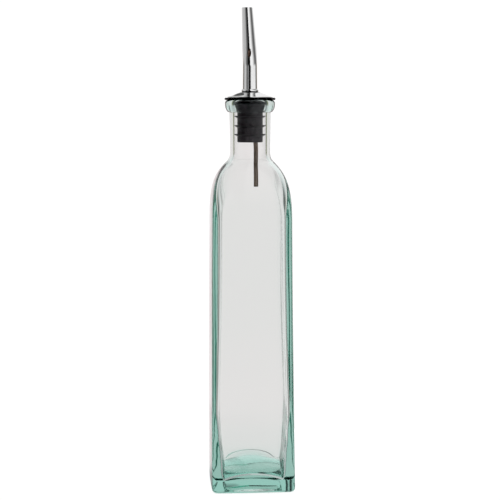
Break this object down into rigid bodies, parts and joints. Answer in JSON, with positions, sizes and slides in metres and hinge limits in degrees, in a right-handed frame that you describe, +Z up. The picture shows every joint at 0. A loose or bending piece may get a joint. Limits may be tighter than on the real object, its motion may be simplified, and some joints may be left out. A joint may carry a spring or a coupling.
{
  "type": "glass oil bottle",
  "caption": "Square glass bottle with arched shoulders, a round neck and rounded lip, closed by a lift-out pourer: ribbed stopper, thin gasket, domed cap, bent tapered spout and vent tube.",
  "frame": {"origin": "centre of the square foot, on the surface the bottle stands on", "axes": "+Z up through the neck; the sides of the body face X and Y; the spout bends back towards +Y, with its breather hole on the -Y side"},
  "size_m": [0.0576, 0.0576, 0.3298],
  "materials": {
    "green_glass": "clear recycled glass with a pale blue-green tint where it is thick, smooth and slightly wavy",
    "black_rubber": "soft black moulded plastic, satin, with fine rings",
    "gasket_black": "thin black washer, matt",
    "chrome": "bright polished chrome plate with faint rub marks",
    "brown_tube": "dark brown smooth small-bore tube"
  },
  "bodies": {
    "bottle": {"glass_bottle": "green_glass"},
    "gasket": {"lip_gasket": "gasket_black"},
    "pourer": {"stopper": "black_rubber", "dome_cap": "chrome", "crimp_ring": "chrome", "spout_tube": "chrome", "vent_tube": "brown_tube"}
  },
  "joints": [
    {"name": "pourer_lift", "type": "slide", "parent": "bottle", "child": "gasket", "axis": [0, 0, 1], "range_m": [0, 0.065]},
    {"name": "pourer_turn", "type": "hinge", "parent": "gasket", "child": "pourer", "pos_m": [0, 0, 0.2674], "axis": [0, 0, 1], "continuous": true}
  ]
}
